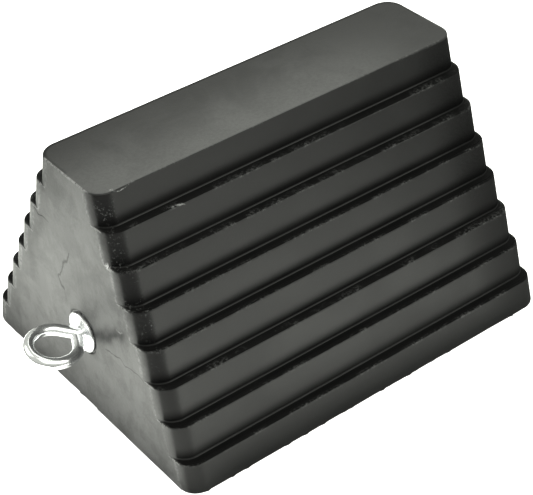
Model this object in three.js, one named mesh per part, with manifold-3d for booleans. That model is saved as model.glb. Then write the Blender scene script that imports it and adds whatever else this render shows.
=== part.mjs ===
// Moulded rubber wheel chock with a wire eye bolt through its length.
// Millimetres, +Z up. The origin is the centre of the base, +X runs along the length away from the eye,
// and the two stepped sides face +Y and -Y.
import * as THREE from "three";
import { mergeVertices } from "three/addons/utils/BufferGeometryUtils.js";
import Module from "manifold-3d";

const wasm = await Module();
wasm.setup();

// Rubber block
const LENGTH = 254;
const WIDTH = 203.2;
const HEIGHT = 152.4;
const TIERS = 8;
const BASE_TIER_HEIGHT = 17.6;
const TREAD = 5.85; // flat ledge on top of each tier
const RISER_DRAFT = THREE.MathUtils.degToRad(12.0);
const END_DRAFT = THREE.MathUtils.degToRad(1.95);
const CORNER_RADIUS = 10.8;
const CORNER_SEGMENTS = 8; // in each quarter turn, an even number

// Line of the eye bolt, which runs along X
const BOLT_Y = -3.4;
const BOLT_Z = 51.6;
const CLEARANCE = 0.3; // between pieces that touch
const BOLT_HOLE_RADIUS = 3.7;

// Washers, each in a flat seat cut into a drafted end face
const WASHER_RADIUS = 12.0;
const WASHER_THICKNESS = 1.5;
const SEAT_RADIUS = 12.9;

// Eye bolt
const WIRE_RADIUS = 3.35;
const SHANK_RADIUS = 3.0;
const TIP_CHAMFER = 0.8;
const BOLT_TIP_PAST_NUT = 3.2;
const LOOP_RADIUS = 13.3; // to the wire's centre line
const LOOP_OUT = 19.8; // from the end face to the loop's centre
const LOOP_ASIDE = -1.5; // the loop's centre beside the shank's line
const LOOP_STOPS_AT = THREE.MathUtils.degToRad(-155);
const LOOP_TURN = THREE.MathUtils.degToRad(7.75); // of the loop about the shank
const LOOP_RISE = THREE.MathUtils.degToRad(6.25); // of the loop above the shank's line
const NECK_OUT = 2.65; // where the leg's line leaves the shank's line
const NECK_BEND_RADIUS = 5;
const TAIL_LENGTH = 5.5; // straight, past the loop's last bend

// Lock nut, with a nylon ring in its collar
const NUT_ACROSS_FLATS = 11.1;
const NUT_HEIGHT = 7.9;
const NUT_HEX_HEIGHT = 5.4;
const NUT_CHAMFER = 0.6;
const COLLAR_RADIUS = 5.1;
const COLLAR_CHAMFER = 0.7;
const INSERT_THICKNESS = 1.5;
const INSERT_OUTER_RADIUS = 4.2;
const LIP_RADIUS = 3.9;
const LIP_THICKNESS = 0.5;

const ROUND_SEGMENTS = 48;
const WIRE_SIDES = 16; // an even number
const WIRE_STEPS = 84;
const NECK_STEPS = 6; // in the bend between the shank and the leg
const LEG_STEPS = 3;
const LOOP_STEPS = 28;
const TAIL_STEPS = 2;
const STUB_DEPTHS = [6, 4, 2]; // points on the shank's line behind the neck, where the wire joins the shank

const RUBBER = { color: 0x2b2c2a, roughness: 0.55, metalness: 0 };
const ZINC = { color: 0xd3d6d8, roughness: 0.22, metalness: 1 };
const NYLON = { color: 0xe6e8ea, roughness: 0.5, metalness: 0 };

// A Shape's arcs come out with twice the curveSegments asked for, so the two extrusions below ask for half.

// A three.js geometry as a solid that can be joined and cut.
function solid(geometry) {
  const bare = geometry.clone();
  bare.deleteAttribute("normal");
  bare.deleteAttribute("uv");
  const merged = mergeVertices(bare, 1e-4);
  const mesh = new wasm.Mesh({
    numProp: 3,
    vertProperties: new Float32Array(merged.attributes.position.array),
    triVerts: new Uint32Array(merged.index.array),
  });
  return new wasm.Manifold(mesh);
}

function namedMesh(name, body, look) {
  const { vertProperties, triVerts } = body.getMesh();
  const geometry = new THREE.BufferGeometry();
  geometry.setAttribute("position", new THREE.BufferAttribute(vertProperties, 3));
  geometry.setIndex(new THREE.BufferAttribute(triVerts, 1));
  geometry.computeVertexNormals();
  const mesh = new THREE.Mesh(geometry, new THREE.MeshStandardMaterial(look));
  mesh.name = name;
  return mesh;
}

// A solid of revolution about the bolt's line. The profile is [x, radius] pairs.
function turned(profile, segments = ROUND_SEGMENTS) {
  const points = profile.map(([x, radius]) => new THREE.Vector2(radius, x));
  const geometry = new THREE.LatheGeometry([...points, points[0]], segments);
  geometry.rotateZ(-Math.PI / 2);
  geometry.translate(0, BOLT_Y, BOLT_Z);
  return solid(geometry);
}

// A cylinder on the bolt's line from one X to another.
function rod(fromX, toX, radius, segments = ROUND_SEGMENTS) {
  const geometry = new THREE.CylinderGeometry(radius, radius, toX - fromX, segments);
  geometry.rotateZ(-Math.PI / 2);
  geometry.translate((fromX + toX) / 2, BOLT_Y, BOLT_Z);
  return solid(geometry);
}

// Half the length of the block at a height.
const endAt = (z) => LENGTH / 2 - z * Math.tan(END_DRAFT);

function roundedRectangle(halfLength, halfWidth, radius) {
  const shape = new THREE.Shape();
  shape.moveTo(halfLength, -halfWidth + radius);
  shape.absarc(halfLength - radius, halfWidth - radius, radius, 0, Math.PI / 2);
  shape.absarc(-halfLength + radius, halfWidth - radius, radius, Math.PI / 2, Math.PI);
  shape.absarc(-halfLength + radius, -halfWidth + radius, radius, Math.PI, 1.5 * Math.PI);
  shape.absarc(halfLength - radius, -halfWidth + radius, radius, 1.5 * Math.PI, 2 * Math.PI);
  return shape;
}

// One tier, wider at its foot: every side leans in by its own draft, and the corner radius stays the same.
function tier(footZ, topZ, halfWidth) {
  const outline = roundedRectangle(endAt(footZ), halfWidth, CORNER_RADIUS);
  const geometry = new THREE.ExtrudeGeometry(outline, {
    depth: topZ - footZ,
    bevelEnabled: false,
    curveSegments: CORNER_SEGMENTS / 2,
  });
  const place = geometry.attributes.position;
  for (let i = 0; i < place.count; i++) {
    const rise = place.getZ(i);
    place.setX(i, place.getX(i) - Math.sign(place.getX(i)) * rise * Math.tan(END_DRAFT));
    place.setY(i, place.getY(i) - Math.sign(place.getY(i)) * rise * Math.tan(RISER_DRAFT));
  }
  geometry.translate(0, 0, footZ);
  return solid(geometry);
}

const seatX = endAt(BOLT_Z + SEAT_RADIUS);
const washerFaceX = seatX + CLEARANCE + WASHER_THICKNESS;

function makeRubberBlock() {
  const tierHeight = (HEIGHT - BASE_TIER_HEIGHT) / (TIERS - 1);
  let halfWidth = WIDTH / 2;
  let footZ = 0;
  let body = null;
  for (let i = 0; i < TIERS; i++) {
    const topZ = i === 0 ? BASE_TIER_HEIGHT : footZ + tierHeight;
    const next = tier(footZ, topZ, halfWidth);
    body = body ? body.add(next) : next;
    halfWidth -= (topZ - footZ) * Math.tan(RISER_DRAFT) + TREAD;
    footZ = topZ;
  }
  body = body.subtract(rod(-LENGTH, LENGTH, BOLT_HOLE_RADIUS));
  body = body.subtract(rod(seatX, LENGTH, SEAT_RADIUS));
  return body.subtract(rod(-LENGTH, -seatX, SEAT_RADIUS));
}

// A flat washer whose inner face is on a seat, to the +X side (1) or the -X side (-1).
function makeWasher(side) {
  const nearX = side * (seatX + CLEARANCE);
  const farX = side * washerFaceX;
  const from = Math.min(nearX, farX);
  const to = Math.max(nearX, farX);
  return rod(from, to, WASHER_RADIUS).subtract(rod(from - 1, to + 1, BOLT_HOLE_RADIUS));
}

// The wire's centre line from inside the block, round the bend at the neck, out along the leg and round
// the loop to its cut end. It is laid out flat, with u outwards and v aside, then turned and raised.
function eyePath() {
  const flatWay = (angle) => new THREE.Vector2(Math.cos(angle), Math.sin(angle));
  const neck = new THREE.Vector2(NECK_OUT, 0);
  const centre = new THREE.Vector2(LOOP_OUT, LOOP_ASIDE);
  const back = neck.clone().sub(centre);
  const touch = back.angle() - Math.acos(LOOP_RADIUS / back.length());
  const legAngle = touch - Math.PI / 2;
  const onLoop = (angle) => flatWay(angle).multiplyScalar(LOOP_RADIUS).add(centre);
  const trim = NECK_BEND_RADIUS * Math.tan(legAngle / 2);
  const legStart = flatWay(legAngle).multiplyScalar(trim).add(neck);
  const legEnd = onLoop(touch);
  const tailWay = flatWay(LOOP_STOPS_AT - Math.PI / 2);

  const flat = [];
  for (let i = 1; i < NECK_STEPS; i++) {
    const angle = (legAngle * i) / NECK_STEPS;
    const along = NECK_OUT - trim + NECK_BEND_RADIUS * Math.sin(angle);
    flat.push(new THREE.Vector2(along, NECK_BEND_RADIUS * (1 - Math.cos(angle))));
  }
  for (let i = 0; i < LEG_STEPS; i++) {
    flat.push(legStart.clone().lerp(legEnd, i / LEG_STEPS));
  }
  for (let i = 0; i <= LOOP_STEPS; i++) {
    flat.push(onLoop(touch + ((LOOP_STOPS_AT - touch) * i) / LOOP_STEPS));
  }
  for (let i = 1; i <= TAIL_STEPS; i++) {
    const past = (TAIL_LENGTH * i) / TAIL_STEPS;
    flat.push(tailWay.clone().multiplyScalar(past).add(onLoop(LOOP_STOPS_AT)));
  }

  const turn = new THREE.Matrix4().makeRotationX(LOOP_TURN);
  const raised = flat.map(({ x: u, y: v }) => {
    const out = Math.max(u - NECK_OUT, 0);
    return new THREE.Vector3(-u, v, out * Math.tan(LOOP_RISE)).applyMatrix4(turn);
  });
  const stub = STUB_DEPTHS.map((depth) => new THREE.Vector3(depth - NECK_OUT + trim, 0, 0));
  const place = new THREE.Vector3(-endAt(BOLT_Z), BOLT_Y, BOLT_Z);
  return new THREE.CatmullRomCurve3([...stub, ...raised].map((point) => point.add(place)));
}

function makeEyeBolt() {
  const section = new THREE.Shape();
  section.absarc(0, 0, WIRE_RADIUS, 0, 2 * Math.PI);
  const loop = new THREE.ExtrudeGeometry(section, {
    extrudePath: eyePath(),
    steps: WIRE_STEPS,
    curveSegments: WIRE_SIDES / 2,
  });
  const startX = 1 - endAt(BOLT_Z); // 1 mm inside the block, within the wire's stub
  const tipX = washerFaceX + CLEARANCE + NUT_HEIGHT + BOLT_TIP_PAST_NUT;
  const shank = turned([
    [startX, 0],
    [startX, SHANK_RADIUS],
    [tipX - TIP_CHAMFER, SHANK_RADIUS],
    [tipX, SHANK_RADIUS - TIP_CHAMFER],
    [tipX, 0],
  ]);
  return solid(loop).add(shank);
}

const nutX = washerFaceX + CLEARANCE;
const nutBoreRadius = SHANK_RADIUS + CLEARANCE;
const insertEndX = nutX + NUT_HEIGHT - LIP_THICKNESS - CLEARANCE;
const insertStartX = insertEndX - INSERT_THICKNESS;

function makeLockNut() {
  const cornerRadius = NUT_ACROSS_FLATS / 2 / Math.cos(Math.PI / 6);
  const hexEndX = nutX + NUT_HEX_HEIGHT;
  const endX = nutX + NUT_HEIGHT;
  const pocketRadius = INSERT_OUTER_RADIUS + CLEARANCE;
  const hex = rod(nutX, hexEndX, cornerRadius, 6);
  const rounded = turned([
    [nutX, 0],
    [nutX, cornerRadius - NUT_CHAMFER],
    [nutX + NUT_CHAMFER / 2, cornerRadius + 0.1],
    [hexEndX - NUT_CHAMFER, cornerRadius + 0.1],
    [hexEndX + 0.2, cornerRadius - NUT_CHAMFER],
    [hexEndX + 0.2, 0],
  ]);
  const collar = turned([
    [nutX + 1, 0],
    [nutX + 1, COLLAR_RADIUS],
    [endX - COLLAR_CHAMFER, COLLAR_RADIUS],
    [endX, COLLAR_RADIUS - COLLAR_CHAMFER],
    [endX, 0],
  ]);
  const hollow = turned([
    [nutX - 1, 0],
    [nutX - 1, nutBoreRadius],
    [insertStartX - CLEARANCE, nutBoreRadius],
    [insertStartX - CLEARANCE, pocketRadius],
    [insertEndX + CLEARANCE, pocketRadius],
    [insertEndX + CLEARANCE, LIP_RADIUS],
    [endX + 1, LIP_RADIUS],
    [endX + 1, 0],
  ]);
  return hex.intersect(rounded).add(collar).subtract(hollow);
}

function makeNylonInsert() {
  return turned([
    [insertStartX, nutBoreRadius],
    [insertStartX, INSERT_OUTER_RADIUS],
    [insertEndX, INSERT_OUTER_RADIUS],
    [insertEndX, nutBoreRadius],
  ]);
}

const chock = new THREE.Group();
chock.add(namedMesh("rubber_block", makeRubberBlock(), RUBBER));
chock.add(namedMesh("eye_washer", makeWasher(-1), ZINC));
chock.add(namedMesh("nut_washer", makeWasher(1), ZINC));
chock.add(namedMesh("eye_bolt", makeEyeBolt(), ZINC));
chock.add(namedMesh("lock_nut", makeLockNut(), ZINC));
chock.add(namedMesh("nylon_insert", makeNylonInsert(), NYLON));

export default chock;
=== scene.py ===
"""Looks for the wheel chock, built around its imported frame. Metres, +Z up, the eye at the -X end."""

import math

import bmesh
import bpy
import numpy as np
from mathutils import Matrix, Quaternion, Vector, noise


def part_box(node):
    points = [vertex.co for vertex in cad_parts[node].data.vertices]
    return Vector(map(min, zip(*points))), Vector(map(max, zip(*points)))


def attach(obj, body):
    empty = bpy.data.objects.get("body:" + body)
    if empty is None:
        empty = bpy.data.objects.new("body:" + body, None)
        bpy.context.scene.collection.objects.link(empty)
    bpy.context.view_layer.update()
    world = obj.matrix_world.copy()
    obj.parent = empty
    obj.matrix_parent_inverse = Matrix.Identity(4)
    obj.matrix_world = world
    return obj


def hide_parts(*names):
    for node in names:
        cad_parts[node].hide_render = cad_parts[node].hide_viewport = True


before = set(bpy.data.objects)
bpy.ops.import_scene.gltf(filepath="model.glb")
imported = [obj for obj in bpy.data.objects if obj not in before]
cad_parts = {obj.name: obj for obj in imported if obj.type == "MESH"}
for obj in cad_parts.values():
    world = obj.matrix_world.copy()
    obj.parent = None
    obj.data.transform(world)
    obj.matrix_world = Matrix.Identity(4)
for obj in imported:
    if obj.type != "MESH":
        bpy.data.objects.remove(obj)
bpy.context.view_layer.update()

MM = 0.001

# Camera
CAMERA_AZIMUTH = -35.91
CAMERA_ELEVATION = 37.26
CAMERA_ROLL = -3.0
CAMERA_TARGET = Vector((1.9, -1.4, 44.5)) * MM
CAMERA_DISTANCE = 964.8 * MM
CAMERA_LENS = 111.9
CAMERA_SENSOR = 36.0

# Rubber block
block_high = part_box("rubber_block")[1]
HALF_LENGTH = block_high.x
HALF_WIDTH = block_high.y
HEIGHT = block_high.z
TIERS = 8
BASE_TIER_HEIGHT = 17.6 * MM
TIER_HEIGHT = (HEIGHT - BASE_TIER_HEIGHT) / (TIERS - 1)
TREAD = 5.85 * MM
RISER_SLOPE = math.tan(math.radians(12.0))
END_SLOPE = math.tan(math.radians(1.95))
CORNER_RADIUS = 10.8 * MM
FOOT_RADIUS = 0.7 * MM  # in the inner corner of every ledge
STEPPED_LEDGES = (1, 2, 4, 5)  # ledges with a small step along their middle, counted from the ground
STEP_OUT = 3.5 * MM  # from the riser above
STEP_DROP = 0.15 * MM
SHARP_ANGLE = math.radians(38)  # faces that meet at more than this show a sharp edge

# Outer edge of every ledge, rounded and a little worn
EDGE_RADIUS = 0.5 * MM
EDGE_HEIGHT = EDGE_RADIUS * 2.4  # of the stretch that turns over the edge
EDGE_SWELLS = (45, 0.25)  # waves per metre, and how much of the radius they add or take
EDGE_RIPPLES = (420, 0.16)
EDGE_NICKS = (150, 0.42, 2.6)  # waves per metre, how high a wave makes a nick, and how much it adds

# The foot of the block, a little set back, with lumps of rubber squeezed out along it
FLASH = 0.7 * MM  # how far the lumps stand out at most
FLASH_SWELLS = (60, 0.85, 0.35)  # waves per metre, the usual set-back in FLASH, and how much it varies
FLASH_LUMPS = (330, 0.28, 5)  # waves per metre, how high a wave makes a lump, and how fast it grows
FLASH_ROWS = ((0.15 * MM, 0.0), (0.0, 0.12 * MM), (0.1 * MM, 0.5 * MM))  # further set back, and height
FLASH_TOP = 0.9 * MM
BASE_RISER_STARTS = 1.5 * MM

# Rows of the mesh round the block
FAN_X = 100 * MM  # the corners and ends are measured from here
FAN_STEP = 0.8 * MM  # along the end face
FAN_TURNS_AT = 3.8  # tangent of the ray where the rows become even in angle instead
FAN_TURN_STEP = 0.008
SIDE_STEP = 2.5 * MM
ARC_STEPS = 5
RISER_STEPS = 3
TOP_ROWS = ((0.5 * MM, 1.0), (1.2 * MM, 0.6), (2 * MM, 0.0))  # in from the top's edge, and rim mask

# Where the looks change round a corner, along the block from the end face, in corner radii
END_FACE_FADES = 0.17  # where the end's film, partly dust and partly painted sheen, is gone
MATT_FROM = (0.02, 0.24)  # where the matt stretch of each upright corner comes in
MATT_TO_EYE = (0.62, 1.25)  # and where it goes again at the eye's end
MATT_TO_FAR = (0.9, 4.2)  # and at the other end

# Stretches of the end face next to its corners: a painted shade by the far corner, and a painted highlight
# line along each corner
BORDER_SHADE = 26 * MM  # width of the painted shade, duller and with a thinner pale film
RIDGE_HIGHLIGHT = 1.6 * MM  # half width of the painted highlight line, flecked pale, where the face meets the corner
RIDGE_HIGHLIGHT_ROUND = 4  # the painted highlight line is this much narrower round the corner than across the face

# Line of the eye bolt
washer_low, washer_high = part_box("eye_washer")
far_washer_low, far_washer_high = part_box("nut_washer")
nut_low, nut_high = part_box("lock_nut")
ring_low, ring_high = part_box("nylon_insert")
bolt_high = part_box("eye_bolt")[1]
BOLT_Y = (washer_low.y + washer_high.y) / 2
BOLT_Z = (washer_low.z + washer_high.z) / 2
WASHER_RADIUS = (washer_high.z - washer_low.z) / 2
HOLE_RADIUS = 3.7 * MM
SEAT_RADIUS = 12.9 * MM
SEAT_GAP = 0.3 * MM
NUT_BORE_RADIUS = 3.15 * MM

# Eye bolt
WIRE_RADIUS = 3.33 * MM
SHANK_RADIUS = 3.1 * MM
SHANK_DEPTH = 6 * MM  # behind the end face, where the wire has drawn down to the shank
THREAD_ROOT_RADIUS = 2.55 * MM
THREAD_PITCH = 1.27 * MM
THREAD_LENGTH = 26 * MM
TIP_CHAMFER = 0.25 * MM
CUT_CHAMFER = 0.35 * MM  # at the cut end of the eye
CUT_CHAMFER_SLOPE = 1.2
LOOP_RADIUS = 13.3 * MM  # to the middle of the wire
LOOP_OUT = 19.8 * MM  # from the end face to the loop's centre
LOOP_ASIDE = -1.5 * MM
NECK_OUT = 2.65 * MM  # from the end face to the bend between neck and leg
NECK_BEND_RADIUS = 5 * MM
LOOP_STOPS_AT = math.radians(-155)
TAIL_LENGTH = 5.5 * MM  # straight stretch before the cut end
LOOP_TURN = math.radians(7.75)  # of the loop's plane, about the shank
LOOP_RISE = math.radians(6.25)  # of the loop's plane, outwards

# Noise in the rubber: waves per metre, detail, roughness, distortion
CLOUDS = (22, 5, 0.6, 0.6)
MOTTLE = (48, 6, 0.68, 0.3)
STREAKS = (1, 5, 0.62, 0.8)
STREAKS_WAVES = (60, 75, 22)  # per metre along each axis
PATCHES = (70, 3, 0.55, 0)
SPECKLE = (620, 5, 0.75, 0)
DOTS = (800, 3, 0.6, 0)
DOT_PATCHES = (130, 2, 0.55, 0)
RAGGED = (260, 4, 0.7, 0)
SWELLS = (38, 4, 0.5, 0)
CORNER_GRAIN = (420, 3, 0.6, 0)
SPECKLE_SPAN = (0.3, 0.7)
GRAIN_FLECKS = (0.40, 0.64)  # the speckle that shows in each look, from nothing to full strength
SCUFF_FLECKS = (0.44, 0.66)
LEDGE_END_FLECKS = (0.36, 0.56)
RIDGE_HIGHLIGHT_FLECKS = (0.4, 0.6)
RUB_FLECKS = (0.42, 0.62)
CHIP_FLECKS = (0.4, 0.55)
WANDER_WAVES = 90  # per metre
WANDER = 10 * MM  # how far the marks stray, from one side to the other

# Rubber: greys, and how strongly each look shows
TONE_VARIES = 0.2
# painted highlight on the top face, strongest at its front and towards the eye
TOP_HIGHLIGHT = 0.07
TOP_HIGHLIGHT_Y = (-32 * MM, 26 * MM)  # full at the first, gone at the second
TOP_HIGHLIGHT_X = (20 * MM, 115 * MM)
TOP_HIGHLIGHT_FAR = 0.15  # what is left of it at the far end
TOP_HIGHLIGHT_RAGGED = 4 * MM
# pale film on the end faces: partly dust, partly painted sheen
END_DUST_AND_SHEEN = 0.055
# share of the pale film left in the painted shade by the far corner
END_DUST_AND_SHEEN_IN_BORDER_SHADE = 0.62
CREASE = 0.004
DOT = 0.12
SCUFF = 0.07
# pale grey of the rubs and of the painted highlight lines
RUB_AND_HIGHLIGHT = 0.3
# a chip with a painted highlight on it
CHIP_HIGHLIGHT = 0.7
ROUGHNESS_VARIES = 0.03
CORNER_ROUGHER = 0.15
FOOT_GLOSS = 0.12
FOOT_SHARE = 0.42  # of the riser's height, over which the gloss comes back
CORNER_DULL = 0.66
CORNER_DULL_HEIGHTS = (20 * MM, 85 * MM)
CORNER_DULL_LOW = 0.35  # share of it that is left at the lower height
CORNER_MARKS_HEIGHTS = (55 * MM, 95 * MM)  # over which the marks on the corners grow
EYE_END_MARKS_X = (-100 * MM, 0.0)  # full at the first, gone at the second
BORDER_SHADE_DULL = 0.3
RIM_DULL = 0.7
CREASE_DULL = 0.6
GRAIN_DEPTH = 0.02 * MM
CORNER_GRAIN_DEPTH = 0.5 * MM
SWELL_DEPTH = 0.3 * MM

# Single marks on the end face at the eye, each place as (Y, Z) in mm
CREASES = (  # start, end, width in mm
    ((37, 113), (33, 110), 1.6),
    ((33, 110), (23, 110), 1.2),
    ((3, 99), (13, 86), 2.4),
    ((13, 86), (17, 78), 1.8),
    ((17, 78), (14, 70), 2.2),
    ((-26, 54), (-65, 56), 1.2),
)
SHADES = (  # soft dark stretches: start, end, width in mm, strength
    ((-12, 53), (-43, 74), 13, 0.8),
    ((23, 130), (23, 144), 7, 0.3),
    ((30, 108), (39, 86), 12, 0.22),
    ((0, 90), (12, 68), 14, 0.15),
    ((-30, 40), (-70, 28), 14, 0.15),
)
END_RUB = ((-43, 76), (-40, 75), 2.2)  # a pale rub: start, end, width in mm
CHIP_PLACE = (-35, 114)
CHIP_RADIUS = 2.6 * MM

# Pale rubs along edges: start and end as (X, Y) in mm, the ledge, width in mm
EDGE_RUBS = (
    ((-90, -38), (-70, -38), 7, 1.6),
    ((-112, -28), (-98, -28), 8, 1.4),
    ((-124, -48), (-115, -58), 5, 1.6),
)
RUB_DROP = 0.2 * MM  # below the ledge

# Studio
WORLD = 0.6
SHEET_REACH = 6.0
FLOOR_GLOW = 1.0
CARD_HEIGHT = 0.2 * MM
CARD_GLOW = 4.4
CARD_FAR = 0.25
CARD_CORE = (0.084, 0.083, 0.0)  # half size of the plain patch that the band runs round
CARD_RISE = (0.018, 0.11)
CARD_FALL = (0.15, 0.26)
CARD_SIDE_WAY = (0.86, 0.51, 0.0)
CARD_SIDE = (0.0, 0.09)
CARD_SHADE = 0.1
GAP_FROM = (-0.11, -0.09, 0.0)  # the dark gap in the card runs out from here
GAP_AZIMUTH = -55
GAP_EDGES = (0.8, 0.95)
GAP_STARTS = (0.06, 0.16)
GAP_GLOW = 0.05
TINT = (0.975, 1.0, 0.92)
SOFTBOXES = (  # name, azimuth, elevation, distance, size, watts
    ("top_low", 140, 50, 0.6, 0.35, 0.3),
    ("top_high", 140, 70, 0.6, 0.35, 0.7),
    ("front", 20, 50, 1.3, 0.8, 5.0),
    ("back_left", 225, 35, 1.3, 0.8, 3.0),
    ("camera_side", -36, 60, 1.3, 1.2, 6.5),
)


# ---------------------------------------------------------------- meshes


def add_mesh(name, vertices, faces, attributes=None):
    """A smooth-shaded object, with sharp edges where its faces meet at a steep angle."""
    mesh = bpy.data.meshes.new(name)
    mesh.from_pydata([tuple(v) for v in vertices], [], faces)
    for key, values in (attributes or {}).items():
        layer = mesh.attributes.new(key, "FLOAT", "POINT")
        layer.data.foreach_set("value", np.asarray(values, np.float32))
    clean = bmesh.new()
    clean.from_mesh(mesh)
    bmesh.ops.remove_doubles(clean, verts=clean.verts, dist=1e-6)
    bmesh.ops.dissolve_degenerate(clean, edges=clean.edges, dist=1e-6)
    bmesh.ops.recalc_face_normals(clean, faces=clean.faces)
    clean.to_mesh(mesh)
    clean.free()
    mesh.polygons.foreach_set("use_smooth", [True] * len(mesh.polygons))
    mesh.set_sharp_from_angle(angle=SHARP_ANGLE)
    piece = bpy.data.objects.new(name, mesh)
    bpy.context.scene.collection.objects.link(piece)
    return piece


def ring_faces(rings, count, closed=False):
    """Quads between neighbouring rings of count vertices each."""
    faces = []
    last = rings if closed else rings - 1
    for r in range(last):
        low = r * count
        high = ((r + 1) % rings) * count
        for i in range(count):
            j = (i + 1) % count
            faces.append((low + i, low + j, high + j, high + i))
    return faces


def wobble(points, scale, seed):
    """Smooth noise from -1 to 1 at each point. scale is in waves per metre."""
    shift = Vector((seed * 17.3, seed * 5.1, seed * 9.7))
    return np.array([noise.noise(Vector(p) * scale + shift) for p in points])


def turned(name, rings, segments=96):
    """A closed piece round the bolt's line, of rings (x, radius). A radius may be one value per segment."""
    angles = np.arange(segments) * 2 * math.pi / segments
    vertices = []
    for x, radius in rings:
        radius = np.broadcast_to(radius, segments)
        y = BOLT_Y + radius * np.cos(angles)
        z = BOLT_Z + radius * np.sin(angles)
        vertices.extend(zip(np.full(segments, x), y, z))
    faces = ring_faces(len(rings), segments, closed=True)
    return add_mesh(name, vertices, faces)


# ---------------------------------------------------------------- rubber block


def perimeter_rays():
    """Origins and directions of the rays that every level of the block is measured along, once round."""
    reach = HALF_LENGTH - FAN_X
    steep = np.arange(0, FAN_TURNS_AT, FAN_STEP / reach)
    shallow = np.arange(1 / FAN_TURNS_AT, 0.001, -FAN_TURN_STEP)
    quarter = np.concatenate([np.arctan(steep), math.pi / 2 - np.arctan(shallow)])
    fan = np.concatenate([-quarter[:0:-1], quarter])
    side = np.arange(FAN_X, -FAN_X - 1e-9, -SIDE_STEP)
    origins = []
    directions = []
    for end in (1, -1):
        for angle in fan:
            turn = angle if end == 1 else angle + math.pi
            origins.append(end * FAN_X)
            directions.append((math.cos(turn), math.sin(turn)))
        for x in side:
            origins.append(end * x)
            directions.append((0.0, float(end)))
    return np.array(origins), np.array(directions)


RAY_X, RAY_WAY = perimeter_rays()
RAY_COUNT = len(RAY_X)


def reach_of(half_length, half_width, radius):
    """How far each ray goes to a rounded rectangle. Every argument may be a number or one value per ray."""
    across = np.abs(RAY_WAY[:, 0])
    aside = np.abs(RAY_WAY[:, 1])
    start = np.abs(RAY_X)
    along_side = across < 1e-9
    start = np.where(along_side, start, FAN_X)
    safe_across = np.maximum(across, 1e-9)
    safe_aside = np.maximum(aside, 1e-9)
    to_end = (half_length - start) / safe_across
    to_side = half_width / safe_aside
    corner_x = half_length - radius - start
    corner_y = half_width - radius
    middle = across * corner_x + aside * corner_y
    square = middle**2 - (corner_x**2 + corner_y**2 - radius**2)
    to_corner = middle + np.sqrt(np.maximum(square, 0))
    on_end = aside * to_end <= corner_y
    on_side = across * to_side <= corner_x
    return np.where(on_end, to_end, np.where(on_side, to_side, to_corner))


def end_reach(half_length):
    """How far each ray goes to the flat end face, or very far where it never meets it."""
    across = np.abs(RAY_WAY[:, 0])
    return np.where(across < 1e-9, 1.0, (half_length - FAN_X) / np.maximum(across, 1e-9))


def ray_points(reach, z):
    x = RAY_X + RAY_WAY[:, 0] * reach
    y = RAY_WAY[:, 1] * reach
    return np.stack([x, y, np.full(RAY_COUNT, z)], 1)


def half_length_at(z):
    return HALF_LENGTH - z * END_SLOPE


def tier_foot(k):
    """Height and half width of the foot of tier k, counted from the ground."""
    z = 0.0 if k == 0 else BASE_TIER_HEIGHT + (k - 1) * TIER_HEIGHT
    return z, HALF_WIDTH - z * RISER_SLOPE - k * TREAD


def edge_radii(k):
    """Each ray's own edge radius, a little worn here and there."""
    z = tier_foot(k)[0] + TIER_HEIGHT
    rough = ray_points(reach_of(half_length_at(z), tier_foot(k)[1], CORNER_RADIUS), z)
    swell_waves, swell = EDGE_SWELLS
    ripple_waves, ripple = EDGE_RIPPLES
    nick_waves, nick_from, nick_size = EDGE_NICKS
    slow = swell * wobble(rough, swell_waves, k)
    fast = ripple * wobble(rough, ripple_waves, k + 20)
    nick = np.clip(wobble(rough, nick_waves, k + 40) - nick_from, 0, 1) * nick_size
    return EDGE_RADIUS * (1 + slow + fast + nick)


def flash_rings():
    """Rings of the uneven foot of the block, each as (reach, height, edge mask)."""
    wall = reach_of(half_length_at(0), tier_foot(0)[1], CORNER_RADIUS)
    foot = ray_points(wall, 0)
    swell_waves, usual, swell = FLASH_SWELLS
    lump_waves, lump_from, lump_size = FLASH_LUMPS
    slow = swell * wobble(foot, swell_waves, 61)
    lumps = np.clip(wobble(foot, lump_waves, 62) - lump_from, 0, 1) * lump_size
    recess = FLASH * np.clip(usual + slow - lumps, 0, 1)
    rows = [(wall - recess - back, z, 0.5) for back, z in FLASH_ROWS]
    rows.append((wall - 0.5 * FLASH, FLASH_TOP, 0.0))
    return rows


def ledge_reach(k):
    """How far each ray goes to the outer edge of the ledge below tier k."""
    z, half = tier_foot(k)
    radii = edge_radii(k - 1)
    return reach_of(half_length_at(z) - radii, half + TREAD - radii, CORNER_RADIUS - radii)


def step_rings(k, ledge):
    """Rings of the small step along the middle of the ledge below tier k, each as (reach, height)."""
    foot_z, foot_half = tier_foot(k)
    wall = reach_of(half_length_at(foot_z), foot_half, CORNER_RADIUS)
    rows = []
    for out, drop in ((STEP_OUT + STEP_DROP, STEP_DROP), (STEP_OUT, 0)):
        length = half_length_at(foot_z - drop)
        spread = reach_of(length + out, foot_half + out, CORNER_RADIUS + out)
        spread = np.minimum(spread, end_reach(length))
        rows.append((np.minimum(spread, np.maximum(ledge, wall)), foot_z - drop))
    return rows


def foot_rings(k, ledge):
    """Rings of the rounded inner corner at the foot of tier k, each as (reach, height)."""
    foot_z, foot_half = tier_foot(k)
    rows = []
    for turn in np.linspace(0, math.pi / 2, ARC_STEPS):
        rise = FOOT_RADIUS * (1 - math.cos(turn))
        spread = FOOT_RADIUS * (1 - math.sin(turn))
        z = foot_z + rise
        length = half_length_at(z)
        half = foot_half - rise * RISER_SLOPE
        filled = reach_of(length + spread, half + spread, CORNER_RADIUS + spread)
        filled = np.minimum(filled, end_reach(length))
        bare = reach_of(length, half, CORNER_RADIUS)
        rows.append((np.minimum(filled, np.maximum(ledge, bare)), z))
    return rows


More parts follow.
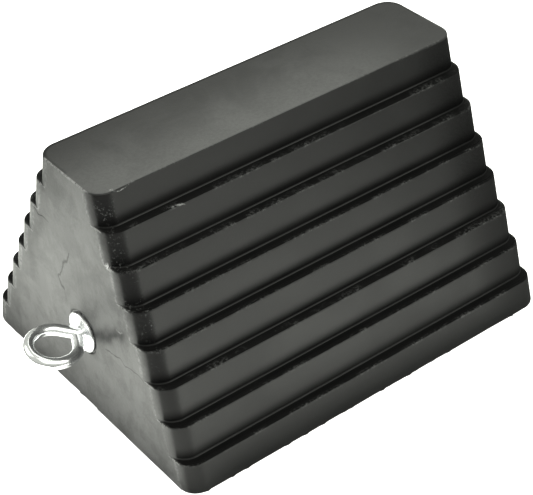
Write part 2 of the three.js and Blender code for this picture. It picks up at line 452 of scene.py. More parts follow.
def block_rings():
    """Rings from the ground up, each as (points, edge mask, share of the riser's height, rim mask)."""
    rings = []

    def add(reach, z, edge=0.0, rise=1.0, rim=0.0):
        masks = [np.broadcast_to(mask, RAY_COUNT) for mask in (edge, rise, rim)]
        rings.append((ray_points(reach, z), *masks))

    for k in range(TIERS):
        foot_z, foot_half = tier_foot(k)
        top_z = BASE_TIER_HEIGHT if k == 0 else foot_z + TIER_HEIGHT
        radii = edge_radii(k)
        if k == 0:
            for reach, z, edge in flash_rings():
                add(reach, z, edge)
            riser_start = BASE_RISER_STARTS
        else:
            ledge = ledge_reach(k)
            if k in STEPPED_LEDGES:
                for reach, z in step_rings(k, ledge):
                    add(reach, z, rise=0.0)
            for reach, z in foot_rings(k, ledge):
                add(reach, z)
            riser_start = FOOT_RADIUS + 0.4 * MM
        for z in np.linspace(foot_z + riser_start, top_z - EDGE_HEIGHT - STEP_DROP, RISER_STEPS):
            wall = reach_of(half_length_at(z), foot_half - (z - foot_z) * RISER_SLOPE, CORNER_RADIUS)
            add(wall, z, rise=1.0 if k == 0 else (z - foot_z) / TIER_HEIGHT)
        above = tier_foot(k + 1)[1]
        top_half = foot_half - (top_z - foot_z) * RISER_SLOPE
        edge_z = top_z - STEP_DROP if k + 1 in STEPPED_LEDGES else top_z
        for turn in np.linspace(0, math.pi / 2, ARC_STEPS):
            z = edge_z - EDGE_HEIGHT * (1 - math.sin(turn))
            drop = edge_z - z
            inside = np.clip(radii - drop, 0, None)
            inset = radii - np.sqrt(np.maximum(radii**2 - inside**2, 0))
            lean = (top_z - z) * RISER_SLOPE
            own = reach_of(half_length_at(z) - inset, top_half + lean - inset, CORNER_RADIUS - inset)
            if k < TIERS - 1:
                column = reach_of(half_length_at(z), above, CORNER_RADIUS)
                add(np.maximum(own, column), z, (own > column) * math.sin(turn))
            else:
                add(own, z, math.sin(turn), rim=math.sin(turn))
    for inset, rim in TOP_ROWS:
        add(own - inset, z, rim=rim)
    return rings


def cap_faces(first, ring_points, upward):
    """Strips across a flat cap, from each vertex to its partner at the same X on the other side."""
    start = int(np.argmax(ring_points[:, 0]))
    around = [(start + i) % RAY_COUNT for i in range(RAY_COUNT)]
    faces = []
    i, j = 1, RAY_COUNT - 1
    left, right = around[0], around[0]
    while i <= j:
        a, b = around[i], around[j]
        face = [left, a, b, right] if left != right else [left, a, b]
        if a == b:
            face = [left, a, right]
        faces.append(tuple(first + v for v in (face if upward else face[::-1])))
        left, right = a, b
        i += 1
        j -= 1
    return faces


def from_bolt(point):
    return math.hypot(point.y - BOLT_Y, point.z - BOLT_Z)


def cut_bolt_hole(block):
    """Cuts the two washer seats and the hole between them."""
    seat_x = far_washer_low.x - SEAT_GAP
    far = HALF_LENGTH + 20 * MM
    hub = 0.5 * MM
    rings = [
        (-far, hub),
        (-far, SEAT_RADIUS),
        (-seat_x, SEAT_RADIUS),
        (-seat_x, HOLE_RADIUS),
        (seat_x, HOLE_RADIUS),
        (seat_x, SEAT_RADIUS),
        (far, SEAT_RADIUS),
        (far, hub),
    ]
    cutter = turned("cutter", rings, segments=72)
    fill = bmesh.new()
    fill.from_mesh(cutter.data)
    inner = [face for face in fill.faces if all(from_bolt(v.co) < 2 * hub for v in face.verts)]
    bmesh.ops.delete(fill, geom=inner, context="FACES")
    bmesh.ops.holes_fill(fill, edges=fill.edges)
    bmesh.ops.recalc_face_normals(fill, faces=fill.faces)
    fill.to_mesh(cutter.data)
    fill.free()
    cut = block.modifiers.new("seats", "BOOLEAN")
    cut.operation = "DIFFERENCE"
    cut.solver = "EXACT"
    cut.object = cutter
    depsgraph = bpy.context.evaluated_depsgraph_get()
    cut_mesh = bpy.data.meshes.new_from_object(block.evaluated_get(depsgraph))
    block.modifiers.clear()
    block.data = cut_mesh
    bpy.data.objects.remove(cutter)


def eased(values, low, high):
    """0 below low, 1 above high, and a smooth rise between."""
    share = np.clip((values - low) / (high - low), 0, 1)
    return share * share * (3 - 2 * share)


def block_masks(rings):
    """How strongly each look of the rubber shows at each point of the rings."""
    points, edge, rise, rim = (np.concatenate(column) for column in zip(*rings))
    inside_end = (half_length_at(points[:, 2]) - np.abs(points[:, 0])) / CORNER_RADIUS
    end_face = np.clip(1 - inside_end / END_FACE_FADES, 0, 1)
    on_walls = points[:, 2] < HEIGHT - MM
    at_eye = points[:, 0] < 0
    fades = np.where(at_eye, eased(inside_end, *MATT_TO_EYE), eased(inside_end, *MATT_TO_FAR))
    corner = eased(inside_end, *MATT_FROM) * (1 - fades) * on_walls
    half_width = np.array([max(np.abs(ring[0][:, 1])) for ring in rings]).repeat(RAY_COUNT)
    from_corner = half_width - CORNER_RADIUS - np.abs(points[:, 1])
    from_ridge = np.abs(from_corner) + inside_end * RIDGE_HIGHLIGHT_ROUND * CORNER_RADIUS
    # painted highlight line, flecked pale, where the end face meets each corner
    ridge_highlight = np.clip(1 - from_ridge / RIDGE_HIGHLIGHT, 0, 1) * on_walls
    far_side = points[:, 1] > 0
    return {
        "edge": edge,
        "rise": np.maximum(rise, end_face),
        "rim": rim * far_side,
        "end_face": end_face,
        "corner": corner,
        "ridge_highlight": ridge_highlight,
        # painted shade on the end face by its far corner
        "border_shade": eased(-from_corner, -BORDER_SHADE, 0) * end_face * far_side * on_walls,
    }


def make_block():
    rings = block_rings()
    points = np.concatenate([ring[0] for ring in rings])
    faces = ring_faces(len(rings), RAY_COUNT)
    faces += cap_faces(0, rings[0][0], upward=False)
    faces += cap_faces((len(rings) - 1) * RAY_COUNT, rings[-1][0], upward=True)
    block = add_mesh("block_moulding", points, faces, block_masks(rings))
    cut_bolt_hole(block)
    block.data.set_sharp_from_angle(angle=SHARP_ANGLE)
    # the ledges, level faces below the top, take the copy of the rubber with painted shade
    for face in block.data.polygons:
        is_level = face.normal.z > 0.8
        if is_level and face.center.z < HEIGHT - MM:
            face.material_index = 1
    return block


# ---------------------------------------------------------------- eye bolt


def eye_line():
    """Points along the wire's centre line, from the threaded tip to the cut end of the eye."""
    neck = np.array([NECK_OUT, 0.0])
    centre = np.array([LOOP_OUT, LOOP_ASIDE])
    back = neck - centre
    touch = math.atan2(back[1], back[0]) % (2 * math.pi) - math.acos(LOOP_RADIUS / np.hypot(*back))
    leg_angle = touch - math.pi / 2
    leg_way = np.array([math.cos(leg_angle), math.sin(leg_angle)])

    def on_loop(angle):
        return centre + LOOP_RADIUS * np.array([math.cos(angle), math.sin(angle)])

    trim = NECK_BEND_RADIUS * math.tan(leg_angle / 2)
    flat = []
    for angle in np.linspace(0, leg_angle, 12):
        along = NECK_OUT - trim + NECK_BEND_RADIUS * math.sin(angle)
        flat.append(np.array([along, NECK_BEND_RADIUS * (1 - math.cos(angle))]))
    leg_start = neck + leg_way * trim
    leg_end = on_loop(touch)
    for share in np.linspace(0, 1, 14)[1:-1]:
        flat.append(leg_start + (leg_end - leg_start) * share)
    for angle in np.linspace(touch, LOOP_STOPS_AT, 120):
        flat.append(on_loop(angle))
    tail_way = np.array([math.sin(LOOP_STOPS_AT), -math.cos(LOOP_STOPS_AT)])
    for share in np.linspace(0, 1, 10)[1:]:
        flat.append(on_loop(LOOP_STOPS_AT) + tail_way * share * TAIL_LENGTH)

    face_x = -(HALF_LENGTH - BOLT_Z * END_SLOPE)
    turn = Quaternion((1, 0, 0), LOOP_TURN)
    bent = []
    for u, v in flat:
        rise = max(u - NECK_OUT, 0) * math.tan(LOOP_RISE)
        bent.append(turn @ Vector((-u, v, rise)) + Vector((face_x, BOLT_Y, BOLT_Z)))
    tip = bolt_high.x
    thread_start = tip - THREAD_LENGTH
    shank = [Vector((x, BOLT_Y, BOLT_Z)) for x in np.arange(tip, thread_start, -THREAD_PITCH / 10)]
    shank += [Vector((x, BOLT_Y, BOLT_Z)) for x in np.linspace(thread_start, bent[0].x, 40)[:-1]]
    return np.array(shank + bent)


def wire_radii(line, angles):
    """The wire's radius at each point and angle: a thread on the far stretch, and chamfered ends."""
    tip = bolt_high.x
    along = line[:, 0][:, None]
    from_tip = tip - along
    shank_share = np.clip((along + HALF_LENGTH) / SHANK_DEPTH - 0.5, 0, 1)
    plain = WIRE_RADIUS + (SHANK_RADIUS - WIRE_RADIUS) * shank_share
    wave = (along / THREAD_PITCH + angles[None, :] / (2 * math.pi)) % 1.0
    crest = np.clip(np.abs(wave - 0.5) * 3 - 0.25, 0, 1)
    runout = np.clip((THREAD_LENGTH - from_tip) / (2 * THREAD_PITCH), 0, 1)
    depth = (SHANK_RADIUS - THREAD_ROOT_RADIUS) * (1 - crest) * runout
    radii = plain - depth
    radii = np.minimum(radii, THREAD_ROOT_RADIUS - TIP_CHAMFER + from_tip)
    step = np.linalg.norm(np.diff(line, axis=0), axis=1)
    to_end = np.concatenate([np.cumsum(step[::-1])[::-1], [0]])[:, None]
    return np.minimum(radii, WIRE_RADIUS - CUT_CHAMFER + to_end * CUT_CHAMFER_SLOPE)


def make_eye_bolt(sides=40):
    line = eye_line()
    angles = np.arange(sides) * 2 * math.pi / sides
    radii = wire_radii(line, angles)
    ways = np.gradient(line, axis=0)
    ways /= np.linalg.norm(ways, axis=1)[:, None]
    normal = np.array([0.0, 0.0, 1.0])
    vertices = []
    for point, way, ring in zip(line, ways, radii):
        normal = normal - way * (normal @ way)
        normal /= np.linalg.norm(normal)
        side = np.cross(way, normal)
        for angle, radius in zip(angles, ring):
            vertices.append(point + radius * (math.cos(angle) * normal + math.sin(angle) * side))
    faces = ring_faces(len(line), sides)
    for first, centre in ((0, line[0]), ((len(line) - 1) * sides, line[-1])):
        hub = len(vertices)
        vertices.append(centre)
        faces += [(first + i, first + (i + 1) % sides, hub) for i in range(sides)]
    return add_mesh("eye_bolt_wire", vertices, faces)


# ---------------------------------------------------------------- washers, nut and nylon ring


def make_washer(name, low, high):
    """A pressed washer: one rim edge rounded by the die, the other nearly sharp."""
    outer = low.x if low.x < 0 else high.x
    inner = high.x if low.x < 0 else low.x
    way = math.copysign(1, outer - inner)
    round_rim = 0.45 * MM
    sharp_rim = 0.1 * MM
    round_bore = 0.3 * MM
    arc = np.linspace(0, math.pi / 2, 6)
    rings = [
        (inner, HOLE_RADIUS),
        (inner, WASHER_RADIUS - sharp_rim),
        (inner + way * sharp_rim, WASHER_RADIUS),
    ]
    for turn in arc:
        x = outer - way * round_rim * (1 - math.sin(turn))
        rings.append((x, WASHER_RADIUS - round_rim * (1 - math.cos(turn))))
    for turn in arc[::-1]:
        x = outer - way * round_bore * (1 - math.sin(turn))
        rings.append((x, HOLE_RADIUS + round_bore * (1 - math.cos(turn))))
    return turned(name, rings)


def make_lock_nut():
    """A hexagonal nut with chamfered corners and a round collar rolled over its nylon ring."""
    segments = 144
    angles = np.arange(segments) * 2 * math.pi / segments
    flats = (nut_high.y - nut_low.y) / 2
    corner = flats / math.cos(math.pi / 6)
    turn = (angles + math.pi / 6) % (math.pi / 3) - math.pi / 6
    hexagon = flats / np.cos(turn)
    start = nut_low.x
    end = nut_high.x
    hex_end = start + 5.4 * MM
    bore_chamfer = 0.6 * MM
    collar = 5.1 * MM
    roll = 0.8 * MM
    lip = 4.0 * MM
    pocket = 4.5 * MM
    pocket_start = ring_low.x - 0.3 * MM
    pocket_end = ring_high.x + 0.3 * MM
    rings = [
        (start + bore_chamfer, NUT_BORE_RADIUS),
        (start, NUT_BORE_RADIUS + bore_chamfer),
        (start, flats - 0.25 * MM),
    ]

    def chamfer(x, length, inset, shares):
        """A cone from just inside the flats, at share 0, to just past the corners, at share 1."""
        width = corner - flats + inset + 0.02 * MM
        for share in shares:
            rings.append((x + length * share, np.minimum(hexagon, flats - inset + width * share)))

    chamfer(start, 0.45 * MM, 0.1 * MM, np.linspace(0, 1, 7))
    chamfer(hex_end, -0.75 * MM, 0.2 * MM, np.linspace(1, 0, 9))
    rings.append((hex_end + 0.05 * MM, collar + 0.15 * MM))
    rings.append((hex_end + 0.35 * MM, collar))
    for step in np.linspace(0, math.pi / 2, 7):
        rings.append((end - roll * (1 - math.sin(step)), collar - roll * (1 - math.cos(step))))
    rings += [
        (end - 0.05 * MM, lip + 0.1 * MM),
        (pocket_end, lip),
        (pocket_end, pocket),
        (pocket_start, pocket),
        (pocket_start, NUT_BORE_RADIUS),
    ]
    return turned("lock_nut_body", rings, segments)


def make_nylon_ring():
    outer = (ring_high.z - ring_low.z) / 2
    inner = NUT_BORE_RADIUS
    soft = 0.25 * MM
    rings = []
    corners = (
        (ring_low.x + soft, outer - soft, math.pi),
        (ring_high.x - soft, outer - soft, math.pi / 2),
        (ring_high.x - soft, inner + soft, 0),
        (ring_low.x + soft, inner + soft, -math.pi / 2),
    )
    for x, radius, begin in corners:
        for share in np.linspace(0, 1, 4):
            angle = begin - share * math.pi / 2
            rings.append((x + soft * math.cos(angle), radius + soft * math.sin(angle)))
    return turned("nylon_ring", rings)


# ---------------------------------------------------------------- materials


class Paint:
    """A procedural material on one Principled shader, with its noise in the row frame."""

    def __init__(self, name):
        self.material = bpy.data.materials.new(name)
        self.material.use_nodes = True
        self.tree = self.material.node_tree
        self.shader = self.tree.nodes["Principled BSDF"]
        self.place = self.node("ShaderNodeTexCoord").outputs["Object"]

    def node(self, kind, **settings):
        made = self.tree.nodes.new(kind)
        for key, value in settings.items():
            setattr(made, key, value)
        return made

    def feed(self, socket, value):
        if isinstance(value, bpy.types.NodeSocket):
            self.tree.links.new(value, socket)
        else:
            socket.default_value = value

    def set(self, **values):
        for key, value in values.items():
            self.feed(self.shader.inputs[key.replace("_", " ")], value)

    def stretch(self, scale):
        made = self.node("ShaderNodeMapping")
        self.feed(made.inputs["Vector"], self.place)
        made.inputs["Scale"].default_value = scale
        return made.outputs["Vector"]

    def noise(self, scale, detail=3.0, roughness=0.55, distortion=0.0, vector=None):
        """Cloudy noise, mostly from 0.3 to 0.7. scale is in waves per metre."""
        made = self.node("ShaderNodeTexNoise")
        self.feed(made.inputs["Vector"], vector or self.place)
        made.inputs["Scale"].default_value = scale
        made.inputs["Detail"].default_value = detail
        made.inputs["Roughness"].default_value = roughness
        made.inputs["Distortion"].default_value = distortion
        return made.outputs["Fac"]

    def spread(self, value, low, high, to_low=0.0, to_high=1.0):
        """Maps low..high to to_low..to_high, clamped and eased."""
        made = self.node("ShaderNodeMapRange", interpolation_type="SMOOTHSTEP")
        self.feed(made.inputs["Value"], value)
        made.inputs["From Min"].default_value = low
        made.inputs["From Max"].default_value = high
        made.inputs["To Min"].default_value = to_low
        made.inputs["To Max"].default_value = to_high
        return made.outputs["Result"]

    def sum(self, kind, a, b, clamp=False):
        made = self.node("ShaderNodeMath", operation=kind, use_clamp=clamp)
        self.feed(made.inputs[0], a)
        self.feed(made.inputs[1], b)
        return made.outputs[0]

    def product(self, first, *others):
        for other in others:
            first = self.sum("MULTIPLY", first, other)
        return first

    def blend(self, share, low, high):
        made = self.node("ShaderNodeMix", data_type="RGBA")
        self.feed(made.inputs["Factor"], share)
        self.feed(made.inputs[6], low)
        self.feed(made.inputs[7], high)
        return made.outputs[2]

    def vector(self, kind, a, b=(0.0, 0.0, 0.0)):
        made = self.node("ShaderNodeVectorMath", operation=kind)
        self.feed(made.inputs[0], a)
        if kind not in ("ABSOLUTE", "LENGTH", "NORMALIZE"):
            self.feed(made.inputs[1], b)
        return made.outputs["Value" if kind in ("LENGTH", "DOT_PRODUCT", "DISTANCE") else "Vector"]

    def axis(self, which):
        made = self.node("ShaderNodeSeparateXYZ")
        self.feed(made.inputs["Vector"], self.place)
        return made.outputs[which]

    def spot(self, centre, radius):
        """1 at a point, falling to 0 at the radius."""
        gap = self.vector("DISTANCE", self.place, centre)
        return self.spread(gap, 0, radius, 1, 0)

    def stroke(self, start, end, width, place):
        """1 along a straight line between two points, falling to 0 at half the width to either side."""
        way = end - start
        from_start = self.vector("SUBTRACT", place, start)
        share = self.vector("DOT_PRODUCT", from_start, way / way.length_squared)
        share = self.sum("MAXIMUM", self.sum("MINIMUM", share, 1.0), 0.0)
        nearest = self.node("ShaderNodeVectorMath", operation="SCALE")
        nearest.inputs[0].default_value = way
        self.feed(nearest.inputs["Scale"], share)
        gap = self.vector("DISTANCE", from_start, nearest.outputs["Vector"])
        return self.spread(gap, 0, width / 2, 1, 0)

    def most(self, values):
        top = values[0]
        for value in values[1:]:
            top = self.sum("MAXIMUM", top, value)
        return top

    def mask(self, name):
        return self.node("ShaderNodeAttribute", attribute_name=name).outputs["Fac"]

    def bump(self, height, depth, below=None):
        made = self.node("ShaderNodeBump")
        made.inputs["Distance"].default_value = depth
        self.feed(made.inputs["Height"], height)
        if below:
            self.feed(made.inputs["Normal"], below)
        return made.outputs["Normal"]


def grey(value):
    return (value, value, value, 1.0)


def on_end(place):
    """A point of the end face at the eye, from its (Y, Z) in mm."""
    y, z = place
    return Vector((-half_length_at(z * MM), y * MM, z * MM))


def on_ledge(place, k):
    """A point just under the outer edge of ledge k, from its (X, Y) in mm."""
    x, y = place
    return Vector((x * MM, y * MM, tier_foot(k)[0] - RUB_DROP))


class Rubber(Paint):
    """Black moulded rubber: satin with fine grain, a pale film of dust and painted sheen on the ends, a
    painted highlight on the top, pale scuffs and painted highlight lines on the edges, a painted shade by one
    corner, dull corners.
    """

    def __init__(self, name):
        super().__init__(name)
        self.edge = self.mask("edge")
        self.end_face = self.mask("end_face")
        self.corner = self.mask("corner")
        self.border_shade = self.mask("border_shade")
        self.rise = self.mask("rise")
        self.height = self.axis("Z")
        self.clouds = self.spread(self.noise(*CLOUDS), 0.35, 0.68)
        self.mottle = self.spread(self.noise(*MOTTLE), 0.34, 0.66)
        self.streaks = self.spread(self.noise(*STREAKS, self.stretch(STREAKS_WAVES)), 0.3, 0.72)
        self.speckle = self.noise(*SPECKLE)
        self.upper = self.spread(self.height, *CORNER_MARKS_HEIGHTS)
        self.at_eye = self.spread(self.axis("X"), *EYE_END_MARKS_X, 1, 0)
        self.shaken = self.shaken_place()
        self.creases = self.strokes((on_end(a), on_end(b), width) for a, b, width in CREASES)

    def shaken_place(self):
        """The place moved about in Y and Z, so that a straight mark comes out crooked."""
        wander = self.node("ShaderNodeTexNoise")
        self.feed(wander.inputs["Vector"], self.place)
        wander.inputs["Scale"].default_value = WANDER_WAVES
        offset = self.vector("MULTIPLY", wander.outputs["Color"], (0, WANDER, WANDER))
        offset = self.vector("SUBTRACT", offset, (0, WANDER / 2, WANDER / 2))
        return self.vector("ADD", self.place, offset)

    def strokes(self, marks):
        return self.most([self.stroke(a, b, width * MM, self.shaken) for a, b, width in marks])

    def flecks(self, low, high):
        """The speckle, with nothing below low and full strength above high."""
        return self.spread(self.speckle, low, high)

    def top_highlight(self):
        """Painted highlight on the top face, strongest at its front and towards the eye."""
        on_top = self.spread(self.height, HEIGHT - 0.5 * MM, HEIGHT - 0.2 * MM)
        ragged = self.spread(self.clouds, 0, 1, -TOP_HIGHLIGHT_RAGGED, TOP_HIGHLIGHT_RAGGED)
        front = self.spread(self.sum("ADD", self.axis("Y"), ragged), *TOP_HIGHLIGHT_Y, 1, 0)
        along = self.spread(self.axis("X"), *TOP_HIGHLIGHT_X, 1, TOP_HIGHLIGHT_FAR)
        return self.product(on_top, front, along, self.spread(self.speckle, *SPECKLE_SPAN, 0.8, 1.15))

    def end_dust_and_sheen(self):
        """Pale film all over the two end faces, streaked and mottled: partly dust, partly painted sheen."""
        streaks = self.spread(self.streaks, 0, 1, 0.0, 0.35)
        mottle = self.spread(self.mottle, 0, 1, 0.35, 0.85)
        dust_and_sheen = self.sum("ADD", streaks, mottle)
        dust_and_sheen = self.sum("SUBTRACT", dust_and_sheen, self.spread(self.speckle, *SPECKLE_SPAN, 0.12, -0.12))
        # painted shade: the pale film thins by the far corner
        shaded = self.spread(self.border_shade, 0, 1, 1, END_DUST_AND_SHEEN_IN_BORDER_SHADE)
        return self.product(self.end_face, dust_and_sheen, shaded)

    def corner_dots(self):
        """Pale dots on the upper corners at the eye's end."""
        dots = self.spread(self.noise(*DOTS), 0.55, 0.7)
        dots = self.sum("MULTIPLY", dots, self.spread(self.noise(*DOT_PATCHES), 0.42, 0.66))
        return self.product(self.corner, dots, self.upper, self.at_eye, 0.6)

    def scuffs(self):
        """Grey scuffs here and there along the ledges."""
        patches = self.spread(self.noise(*PATCHES), 0.42, 0.6)
        return self.product(self.flecks(*SCUFF_FLECKS), patches, self.edge)

    def rubs_and_highlights(self):
        """Pale rubs on the ledges' ends and a few single ones, and the painted highlight lines beside the end
        faces.
        """
        near_end = self.spread(self.end_face, 0.5, 0.9)
        ledge_ends = self.product(self.edge, near_end, self.flecks(*LEDGE_END_FLECKS))
        mottle = self.spread(self.mottle, 0, 1, 0.25, 1)
        # painted highlight lines beside the end faces
        ridge_highlights = self.product(self.mask("ridge_highlight"), self.flecks(*RIDGE_HIGHLIGHT_FLECKS), mottle, 0.6)
        start, end, width = END_RUB
        marks = [(on_end(start), on_end(end), width)]
        marks += [(on_ledge(a, k), on_ledge(b, k), width) for a, b, k, width in EDGE_RUBS]
        single = self.sum("MULTIPLY", self.strokes(marks), self.flecks(*RUB_FLECKS))
        return self.most([ledge_ends, ridge_highlights, single])

    def highlighted_chip(self):
        """A chip where one ledge meets the end face, with a painted highlight on it."""
        highlighted_chip = self.spot(on_end(CHIP_PLACE), CHIP_RADIUS)
        return self.sum("MULTIPLY", highlighted_chip, self.flecks(*CHIP_FLECKS))

    def colour(self, tone):
        base = self.blend(self.clouds, grey(tone * (1 - TONE_VARIES)), grey(tone * (1 + TONE_VARIES)))
        for share, shade in (
            # pale film on the end faces: partly dust, partly painted sheen
            (self.end_dust_and_sheen(), END_DUST_AND_SHEEN),
            # painted highlight on the top face
            (self.top_highlight(), TOP_HIGHLIGHT),
            (self.sum("MULTIPLY", self.creases, 0.8), CREASE),
            (self.corner_dots(), DOT),
            (self.scuffs(), SCUFF),
            # pale rubs, and the painted highlight lines beside the end faces
            (self.rubs_and_highlights(), RUB_AND_HIGHLIGHT),
            # chip with a painted highlight on it
            (self.highlighted_chip(), CHIP_HIGHLIGHT),
        ):
            base = self.blend(share, base, grey(shade))
        return base

    def roughness(self, rough):
        cloudy = self.spread(self.clouds, 0, 1, rough - ROUGHNESS_VARIES, rough + ROUGHNESS_VARIES)
        return self.sum("ADD", cloudy, self.sum("MULTIPLY", self.corner, CORNER_ROUGHER))

    def corner_dullness(self):
        """Matt corners, ragged at the eye's end, deepest at each riser's foot and growing with height."""
        ragged = self.spread(self.noise(*RAGGED), 0.3, 0.7, -0.1, 0.14)
        ragged = self.spread(self.sum("ADD", self.corner, ragged), 0.25, 0.8)
        ragged = self.product(ragged, self.corner, self.at_eye)
        plain = self.sum("MULTIPLY", self.corner, self.sum("SUBTRACT", 1.0, self.at_eye))
        matt = self.sum("ADD", plain, ragged)
        deep = self.spread(self.rise, 0, 0.9, CORNER_DULL + 0.14, CORNER_DULL - 0.08)
        by_height = self.spread(self.height, *CORNER_DULL_HEIGHTS, CORNER_DULL_LOW, 1)
        return self.product(matt, deep, by_height)

    def dullness(self):
        """How much of the gloss is gone."""
        shades = []
        for start, end, width, strength in SHADES:
            shade = self.stroke(on_end(start), on_end(end), width * MM, self.shaken)
            shades.append(self.sum("MULTIPLY", shade, strength))
        dull = self.corner_dullness()
        for part in (
            self.sum("MULTIPLY", self.mask("rim"), RIM_DULL),
            # painted shade by the far corner, in the gloss
            self.sum("MULTIPLY", self.border_shade, BORDER_SHADE_DULL),
            self.most(shades),
            self.sum("MULTIPLY", self.creases, CREASE_DULL),
        ):
            dull = self.sum("ADD", dull, part)
        return dull

    def shine(self, gloss):
        """The gloss left after the dull places, a little patchy on the end faces."""
        foot = self.spread(self.rise, 0, FOOT_SHARE, FOOT_GLOSS, 1)
        shine = self.product(foot, self.sum("SUBTRACT", 1.0, self.dullness(), clamp=True))
        patchy = self.spread(self.sum("MULTIPLY", self.mottle, self.end_face), 0, 1, 1.0, 1.12)
        patchy = self.sum("SUBTRACT", patchy, self.product(self.streaks, self.end_face, 0.12))
        return self.product(shine, patchy, gloss)

    def surface(self):
        """Slow swells, a coarse grain on the upper corners, and fine grain everywhere."""
        normal = self.bump(self.noise(*SWELLS), SWELL_DEPTH)
        grain = self.product(self.noise(*CORNER_GRAIN), self.corner, self.upper)
        normal = self.bump(grain, CORNER_GRAIN_DEPTH, normal)
        return self.bump(self.flecks(*GRAIN_FLECKS), GRAIN_DEPTH, normal)


def rubber_paint(name, tone, rough, gloss, varied=True):
    paint = Rubber(name)
    paint.set(Base_Color=paint.colour(tone), Roughness=paint.roughness(rough), Normal=paint.surface())
    paint.set(IOR=1.5, Specular_IOR_Level=gloss)
    if varied:
        paint.set(Specular_IOR_Level=paint.shine(gloss))
    return paint.material


def zinc_paint(name, tint, rough):
    """Bright zinc plate: a mirror with slight cloudiness and a faint fine bump."""
    paint = Paint(name)
    clouds = paint.spread(paint.noise(140, 4, 0.6), 0.3, 0.7)
    base = paint.blend(clouds, tint, tuple(c * 0.9 for c in tint[:3]) + (1.0,))
    roughness = paint.spread(paint.noise(420, 3), 0.3, 0.7, rough, rough + 0.1)
    normal = paint.bump(paint.noise(600, 2), 0.003 * MM)
    paint.set(Base_Color=base, Roughness=roughness, Metallic=1.0, Normal=normal)
    return paint.material


def nylon_paint():
    paint = Paint("nylon")
    tone = paint.spread(paint.noise(300, 3), 0.3, 0.7)
    base = paint.blend(tone, (0.62, 0.64, 0.66, 1), (0.78, 0.79, 0.80, 1))
    paint.set(Base_Color=base, Roughness=0.45, Normal=paint.bump(paint.noise(1500, 2), 0.02 * MM))
    return paint.material


def finish_piece(piece, materials, body, node):
    for material in materials:
        piece.data.materials.append(material)
    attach(piece, body)
    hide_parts(node)


# ---------------------------------------------------------------- studio


def away(azimuth, elevation):
    """Unit vector from the object towards a camera or a light."""
    a = math.radians(azimuth)
    e = math.radians(elevation)
    return Vector((math.sin(a) * math.cos(e), -math.cos(a) * math.cos(e), math.sin(e)))


def add_camera():
    data = bpy.data.cameras.new("camera")
    data.lens = CAMERA_LENS
    data.sensor_width = CAMERA_SENSOR
    camera = bpy.data.objects.new("camera", data)
    back = away(CAMERA_AZIMUTH, CAMERA_ELEVATION)
    camera.rotation_mode = "QUATERNION"
    roll = Quaternion((0, 0, 1), math.radians(CAMERA_ROLL))
    camera.rotation_quaternion = back.to_track_quat("Z", "Y") @ roll
    camera.location = CAMERA_TARGET + back * CAMERA_DISTANCE
    bpy.context.scene.collection.objects.link(camera)
    bpy.context.scene.camera = camera


def add_softbox(name, azimuth, elevation, distance, size, power):
    data = bpy.data.lights.new(name, "AREA")
    data.shape = "SQUARE"
    data.size = size
    data.energy = power
    data.color = TINT
    lamp = bpy.data.objects.new(name, data)
    way = away(azimuth, elevation)
    lamp.rotation_mode = "QUATERNION"
    lamp.rotation_quaternion = way.to_track_quat("Z", "Y")
    lamp.location = CAMERA_TARGET + way * distance
    bpy.context.scene.collection.objects.link(lamp)


def floor_paint():
    """White table top with a slight glow of its own."""
    paint = Paint("pale_floor")
    tone = paint.spread(paint.noise(3, 3), 0.3, 0.7)
    paint.set(Base_Color=paint.blend(tone, grey(0.86), grey(0.9)), Roughness=0.6)
    paint.set(Emission_Color=(1, 1, 1, 1), Emission_Strength=FLOOR_GLOW)
    return paint.material


def card_paint():
    """The table as the block mirrors it: a bright band, open at the far right and by the camera."""
    paint = Paint("reflector_card")
    past = paint.vector("MAXIMUM", paint.vector("SUBTRACT", paint.vector("ABSOLUTE", paint.place), CARD_CORE))
    distance = paint.vector("LENGTH", past)
    rise = paint.spread(distance, *CARD_RISE)
    fall = paint.spread(distance, *CARD_FALL, 1, 0)
    side = paint.spread(paint.vector("DOT_PRODUCT", paint.place, CARD_SIDE_WAY), *CARD_SIDE, 1, CARD_SHADE)
    glow = paint.spread(paint.product(rise, fall, side), 0, 1, CARD_FAR, CARD_GLOW)
    from_corner = paint.vector("SUBTRACT", paint.place, GAP_FROM)
    heading = paint.vector("DOT_PRODUCT", paint.vector("NORMALIZE", from_corner), away(GAP_AZIMUTH, 0))
    away_from_corner = paint.spread(paint.vector("LENGTH", from_corner), *GAP_STARTS)
    gap = paint.sum("MULTIPLY", paint.spread(heading, *GAP_EDGES), away_from_corner)
    glow = paint.sum("MULTIPLY", glow, paint.spread(gap, 0, 1, 1, GAP_GLOW))
    paint.set(Base_Color=grey(0.0), Specular_IOR_Level=0.0)
    paint.set(Emission_Color=TINT + (1.0,), Emission_Strength=glow)
    return paint.material


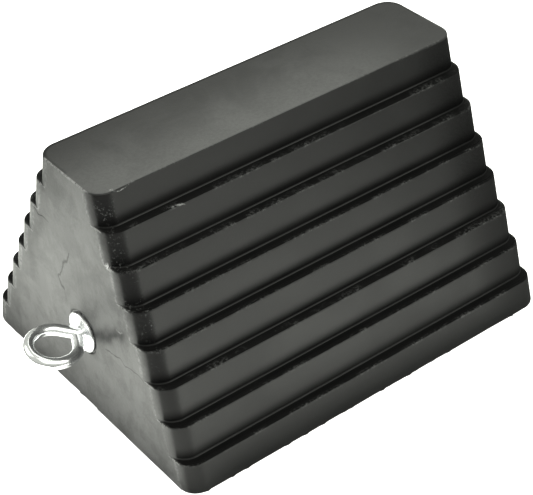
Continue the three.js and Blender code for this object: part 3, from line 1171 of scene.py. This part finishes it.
def add_sheet(name, reach, z, material):
    mesh = bpy.data.meshes.new(name)
    corners = [(-reach, -reach, z), (reach, -reach, z), (reach, reach, z), (-reach, reach, z)]
    mesh.from_pydata(corners, [], [(0, 1, 2, 3)])
    mesh.materials.append(material)
    sheet = bpy.data.objects.new(name, mesh)
    bpy.context.scene.collection.objects.link(sheet)
    return sheet


def add_studio():
    scene = bpy.context.scene
    scene.view_settings.view_transform = "Standard"
    world = bpy.data.worlds.new("studio")
    world.use_nodes = True
    background = world.node_tree.nodes["Background"]
    background.inputs["Color"].default_value = TINT + (1.0,)
    background.inputs["Strength"].default_value = WORLD
    scene.world = world
    add_sheet("floor", SHEET_REACH, 0, floor_paint())
    card = add_sheet("reflector_card", SHEET_REACH, CARD_HEIGHT, card_paint())
    card.visible_camera = False
    card.visible_diffuse = False
    card.visible_shadow = False
    card.visible_transmission = False
    for softbox in SOFTBOXES:
        add_softbox(*softbox)


add_camera()
add_studio()

rubber = rubber_paint("moulded_rubber", 0.004, 0.5, 0.5)
# painted shade: a darker, less glossy copy of the rubber for the ledges
shaded_ledge_rubber = rubber_paint("shaded_ledge_rubber", 0.003, 0.5, 0.08, varied=False)
wire_zinc = zinc_paint("zinc_wire", (0.93, 0.94, 0.95, 1.0), 0.15)
washer_zinc = zinc_paint("zinc_washers", (0.92, 0.93, 0.94, 1.0), 0.2)
nut_zinc = zinc_paint("zinc_nut", (0.78, 0.79, 0.81, 1.0), 0.2)
eye_washer = make_washer("eye_washer_disc", washer_low, washer_high)
nut_washer = make_washer("nut_washer_disc", far_washer_low, far_washer_high)

finish_piece(make_block(), [rubber, shaded_ledge_rubber], "chock", "rubber_block")
finish_piece(eye_washer, [washer_zinc], "chock", "eye_washer")
finish_piece(nut_washer, [washer_zinc], "chock", "nut_washer")
finish_piece(make_eye_bolt(), [wire_zinc], "eye", "eye_bolt")
finish_piece(make_lock_nut(), [nut_zinc], "eye", "lock_nut")
finish_piece(make_nylon_ring(), [nylon_paint()], "eye", "nylon_insert")
